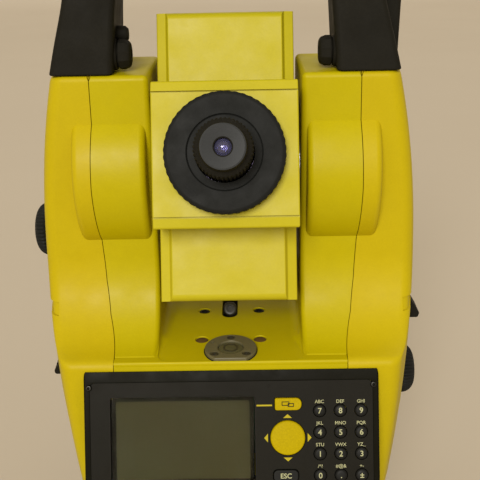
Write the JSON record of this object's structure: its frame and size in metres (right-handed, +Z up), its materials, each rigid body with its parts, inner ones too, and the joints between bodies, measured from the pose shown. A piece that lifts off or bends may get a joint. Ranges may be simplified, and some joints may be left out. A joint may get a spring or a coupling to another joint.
{
  "type": "surveying total station",
  "caption": "Surveying total station: a tilting telescope in a yellow fork with side covers, keypad and display, carrying handle, on a tribrach with levelling screws.",
  "frame": {"origin": "on the vertical axis, at the underside of the tribrach's base plate", "axes": "+Z up the vertical axis, +X to the observer's right along the tilting axis, -Y towards the observer, on the keypad's side"},
  "size_m": [0.2032, 0.1786, 0.36],
  "materials": {
    "yellow_paint": "satin paint over a light-alloy casting",
    "yellow_cover": "satin moulded plastic",
    "black_plastic": "fine grained moulded plastic",
    "keypad_face": "printed matt face",
    "black_rubber": "matt rubber",
    "yellow_rubber": "matt rubber",
    "grey_metal": "satin anodised",
    "steel": "ground",
    "brass": "turned",
    "lens_glass": "coated",
    "circle_glass": "clear with graduations",
    "screen": "unlit liquid crystal display",
    "board": "circuit board"
  },
  "bodies": {
    "tribrach": {"tribrach_base_plate": "grey_metal", "tribrach_body": "grey_metal", "base_flange": "grey_metal", "horizontal_circle": "circle_glass"},
    "alidade": {"axis_spindle": "steel", "yoke_frame": "yellow_paint", "left_side_cover": "yellow_cover", "right_side_cover": "yellow_cover", "keyboard_housing": "black_plastic", "rear_housing": "black_plastic", "keypad_panel": "keypad_face", "display_window": "lens_glass", "display_module": "screen", "main_board": "board", "circular_level": "grey_metal", "battery": "black_plastic", "carry_handle": "black_plastic", "left_bearing": "brass", "right_bearing": "brass"},
    "telescope": {"telescope_housing": "yellow_paint", "telescope_front_plate": "yellow_paint", "objective_cell": "black_plastic", "objective_lens": "lens_glass", "optical_sight": "black_plastic", "trunnion_left": "steel", "trunnion_right": "steel", "vertical_circle": "circle_glass"},
    "focus_ring": {"focus_ring": "black_rubber"},
    "eyepiece": {"eyepiece": "black_plastic"},
    "vertical_drive_knob": {"vertical_drive_knob": "black_rubber"},
    "horizontal_drive_knob": {"horizontal_drive_knob": "black_rubber"},
    "trigger_key": {"trigger_key": "black_plastic"},
    "battery_door": {"battery_door": "yellow_cover"},
    "battery_latch": {"battery_latch": "black_plastic"},
    "data_door": {"data_door": "yellow_cover"},
    "handle_screw_left": {"handle_screw_left": "black_plastic"},
    "handle_screw_right": {"handle_screw_right": "black_plastic"},
    "foot_screw_1": {"foot_screw_1": "black_plastic"},
    "foot_screw_2": {"foot_screw_2": "black_plastic"},
    "foot_screw_3": {"foot_screw_3": "black_plastic"},
    "tribrach_clamp_knob": {"tribrach_clamp_knob": "black_plastic"},
    "key_7": {"key_7": "black_rubber"},
    "key_8": {"key_8": "black_rubber"},
    "key_9": {"key_9": "black_rubber"},
    "key_4": {"key_4": "black_rubber"},
    "key_5": {"key_5": "black_rubber"},
    "key_6": {"key_6": "black_rubber"},
    "key_1": {"key_1": "black_rubber"},
    "key_2": {"key_2": "black_rubber"},
    "key_3": {"key_3": "black_rubber"},
    "key_0": {"key_0": "black_rubber"},
    "key_point": {"key_point": "black_rubber"},
    "key_sign": {"key_sign": "black_rubber"},
    "function_key_1": {"function_key_1": "black_rubber"},
    "function_key_2": {"function_key_2": "black_rubber"},
    "function_key_3": {"function_key_3": "black_rubber"},
    "function_key_4": {"function_key_4": "black_rubber"},
    "page_key": {"page_key": "yellow_rubber"},
    "navigation_key": {"navigation_key": "yellow_rubber"},
    "escape_key": {"escape_key": "black_rubber"}
  },
  "joints": [
    {"name": "alidade_turn", "type": "hinge", "parent": "tribrach", "child": "alidade", "pos_m": [0, 0, 0.06], "axis": [0, 0, 1], "continuous": true},
    {"name": "telescope_tilt", "type": "hinge", "parent": "alidade", "child": "telescope", "pos_m": [0, 0, 0.24], "axis": [-1, 0, 0], "range_deg": [-61, 199]},
    {"name": "focus_turn", "type": "hinge", "parent": "telescope", "child": "focus_ring", "pos_m": [0, 0, 0.24], "axis": [0, -0.9317, 0.3633], "range_deg": [-270, 270]},
    {"name": "eyepiece_turn", "type": "hinge", "parent": "telescope", "child": "eyepiece", "pos_m": [0, 0, 0.24], "axis": [0, -0.9317, 0.3633], "range_deg": [-90, 90]},
    {"name": "vertical_drive_turn", "type": "hinge", "parent": "alidade", "child": "vertical_drive_knob", "pos_m": [-0.09, 0, 0.207], "axis": [1, 0, 0], "continuous": true},
    {"name": "horizontal_drive_turn", "type": "hinge", "parent": "alidade", "child": "horizontal_drive_knob", "pos_m": [0.09, 0, 0.1196], "axis": [1, 0, 0], "continuous": true},
    {"name": "trigger_press", "type": "slide", "parent": "alidade", "child": "trigger_key", "axis": [-1, 0, 0], "range_m": [0, 0.0015], "stiffness_N_per_m": 300},
    {"name": "battery_door_swing", "type": "hinge", "parent": "alidade", "child": "battery_door", "pos_m": [-0.08983, 0, 0.0784], "axis": [0, -1, 0], "range_deg": [0, 95]},
    {"name": "battery_latch_slide", "type": "slide", "parent": "alidade", "child": "battery_latch", "axis": [0, 0, 1], "range_m": [0, 0.0028], "stiffness_N_per_m": 150, "springref_m": -0.001},
    {"name": "data_door_swing", "type": "hinge", "parent": "alidade", "child": "data_door", "pos_m": [0.09388, 0, 0.1864], "axis": [0, 1, 0], "range_deg": [0, 95]},
    {"name": "handle_screw_left_turn", "type": "hinge", "parent": "alidade", "child": "handle_screw_left", "pos_m": [-0.0493, -0.016, 0.299], "axis": [1, 0, 0], "range_deg": [0, 720]},
    {"name": "handle_screw_right_turn", "type": "hinge", "parent": "alidade", "child": "handle_screw_right", "pos_m": [0.0493, -0.016, 0.299], "axis": [-1, 0, 0], "range_deg": [0, 720]},
    {"name": "foot_screw_1_turn", "type": "hinge", "parent": "tribrach", "child": "foot_screw_1", "pos_m": [0, 0.055, 0.016], "axis": [0, 0, 1], "range_deg": [-720, 720]},
    {"name": "foot_screw_2_turn", "type": "hinge", "parent": "tribrach", "child": "foot_screw_2", "pos_m": [-0.04763, -0.0275, 0.016], "axis": [0, 0, 1], "range_deg": [-720, 720]},
    {"name": "foot_screw_3_turn", "type": "hinge", "parent": "tribrach", "child": "foot_screw_3", "pos_m": [0.04763, -0.0275, 0.016], "axis": [0, 0, 1], "range_deg": [-720, 720]},
    {"name": "tribrach_clamp_turn", "type": "hinge", "parent": "tribrach", "child": "tribrach_clamp_knob", "pos_m": [0, -0.05, 0.0345], "axis": [0, -1, 0], "range_deg": [0, 180]},
    {"name": "key_7_press", "type": "slide", "parent": "alidade", "child": "key_7", "axis": [0, 0.9317, -0.3633], "range_m": [0, 0.0008], "stiffness_N_per_m": 120},
    {"name": "key_8_press", "type": "slide", "parent": "alidade", "child": "key_8", "axis": [0, 0.9317, -0.3633], "range_m": [0, 0.0008], "stiffness_N_per_m": 120},
    {"name": "key_9_press", "type": "slide", "parent": "alidade", "child": "key_9", "axis": [0, 0.9317, -0.3633], "range_m": [0, 0.0008], "stiffness_N_per_m": 120},
    {"name": "key_4_press", "type": "slide", "parent": "alidade", "child": "key_4", "axis": [0, 0.9317, -0.3633], "range_m": [0, 0.0008], "stiffness_N_per_m": 120},
    {"name": "key_5_press", "type": "slide", "parent": "alidade", "child": "key_5", "axis": [0, 0.9317, -0.3633], "range_m": [0, 0.0008], "stiffness_N_per_m": 120},
    {"name": "key_6_press", "type": "slide", "parent": "alidade", "child": "key_6", "axis": [0, 0.9317, -0.3633], "range_m": [0, 0.0008], "stiffness_N_per_m": 120},
    {"name": "key_1_press", "type": "slide", "parent": "alidade", "child": "key_1", "axis": [0, 0.9317, -0.3633], "range_m": [0, 0.0008], "stiffness_N_per_m": 120},
    {"name": "key_2_press", "type": "slide", "parent": "alidade", "child": "key_2", "axis": [0, 0.9317, -0.3633], "range_m": [0, 0.0008], "stiffness_N_per_m": 120},
    {"name": "key_3_press", "type": "slide", "parent": "alidade", "child": "key_3", "axis": [0, 0.9317, -0.3633], "range_m": [0, 0.0008], "stiffness_N_per_m": 120},
    {"name": "key_0_press", "type": "slide", "parent": "alidade", "child": "key_0", "axis": [0, 0.9317, -0.3633], "range_m": [0, 0.0008], "stiffness_N_per_m": 120},
    {"name": "key_point_press", "type": "slide", "parent": "alidade", "child": "key_point", "axis": [0, 0.9317, -0.3633], "range_m": [0, 0.0008], "stiffness_N_per_m": 120},
    {"name": "key_sign_press", "type": "slide", "parent": "alidade", "child": "key_sign", "axis": [0, 0.9317, -0.3633], "range_m": [0, 0.0008], "stiffness_N_per_m": 120},
    {"name": "function_key_1_press", "type": "slide", "parent": "alidade", "child": "function_key_1", "axis": [0, 0.9317, -0.3633], "range_m": [0, 0.0008], "stiffness_N_per_m": 120},
    {"name": "function_key_2_press", "type": "slide", "parent": "alidade", "child": "function_key_2", "axis": [0, 0.9317, -0.3633], "range_m": [0, 0.0008], "stiffness_N_per_m": 120},
    {"name": "function_key_3_press", "type": "slide", "parent": "alidade", "child": "function_key_3", "axis": [0, 0.9317, -0.3633], "range_m": [0, 0.0008], "stiffness_N_per_m": 120},
    {"name": "function_key_4_press", "type": "slide", "parent": "alidade", "child": "function_key_4", "axis": [0, 0.9317, -0.3633], "range_m": [0, 0.0008], "stiffness_N_per_m": 120},
    {"name": "page_key_press", "type": "slide", "parent": "alidade", "child": "page_key", "axis": [0, 0.9317, -0.3633], "range_m": [0, 0.0008], "stiffness_N_per_m": 120},
    {"name": "navigation_key_press", "type": "slide", "parent": "alidade", "child": "navigation_key", "axis": [0, 0.9317, -0.3633], "range_m": [0, 0.0008], "stiffness_N_per_m": 120},
    {"name": "escape_key_press", "type": "slide", "parent": "alidade", "child": "escape_key", "axis": [0, 0.9317, -0.3633], "range_m": [0, 0.0008], "stiffness_N_per_m": 120}
  ]
}
